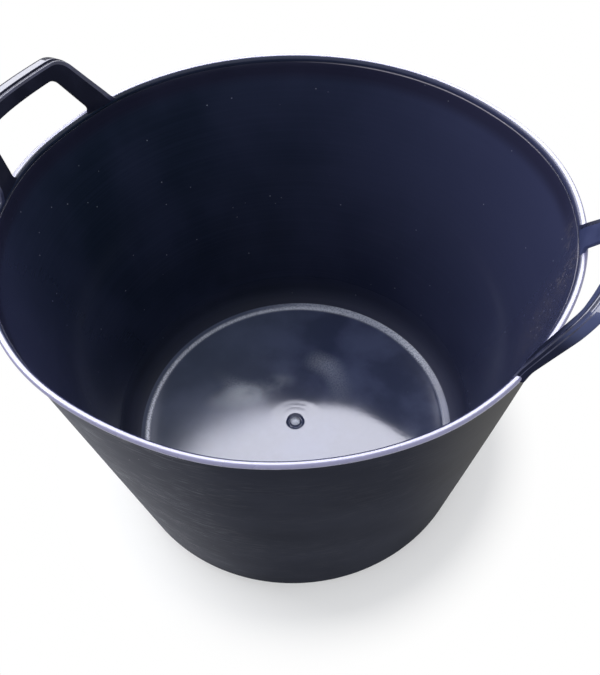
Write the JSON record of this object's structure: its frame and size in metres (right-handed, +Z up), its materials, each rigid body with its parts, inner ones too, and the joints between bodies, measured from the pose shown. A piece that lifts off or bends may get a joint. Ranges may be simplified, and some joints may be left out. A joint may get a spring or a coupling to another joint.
{
  "type": "flexible tub",
  "caption": "Flexible round tub with a tapered moulded wall, rounded base corner, beaded rim and leaning loop handles that bend at their roots, for carrying feed, soil, water or harvest.",
  "frame": {"origin": "middle of the base, on the ground", "axes": "+Z up along the tub's axis, +X towards the right handle, -Y towards the front"},
  "size_m": [0.5242, 0.4602, 0.3549],
  "materials": {
    "tub_plastic": "soft low-density polyethylene, moulded through in navy black, with a waxy sheen and fine scuffs"
  },
  "bodies": {
    "tub": {"floor_disc": "tub_plastic", "heel_ring": "tub_plastic", "side_wall": "tub_plastic", "rim_collar": "tub_plastic", "rim_bead": "tub_plastic", "right_front_root_web": "tub_plastic", "right_rear_root_web": "tub_plastic", "left_front_root_web": "tub_plastic", "left_rear_root_web": "tub_plastic"},
    "right_handle": {"right_handle_plate": "tub_plastic", "right_grip": "tub_plastic"},
    "left_handle": {"left_handle_plate": "tub_plastic", "left_grip": "tub_plastic"}
  },
  "joints": [
    {"name": "right_handle_bend", "type": "hinge", "parent": "tub", "child": "right_handle", "pos_m": [0.2195, 0, 0.3156], "axis": [0, -1, 0], "range_deg": [-30, 70], "stiffness_Nm_per_rad": 3.5, "deforming": ["right_front_root_web", "right_rear_root_web"]},
    {"name": "left_handle_bend", "type": "hinge", "parent": "tub", "child": "left_handle", "pos_m": [-0.2195, 0, 0.3156], "axis": [0, 1, 0], "range_deg": [-30, 70], "stiffness_Nm_per_rad": 3.5, "deforming": ["left_front_root_web", "left_rear_root_web"]}
  ]
}
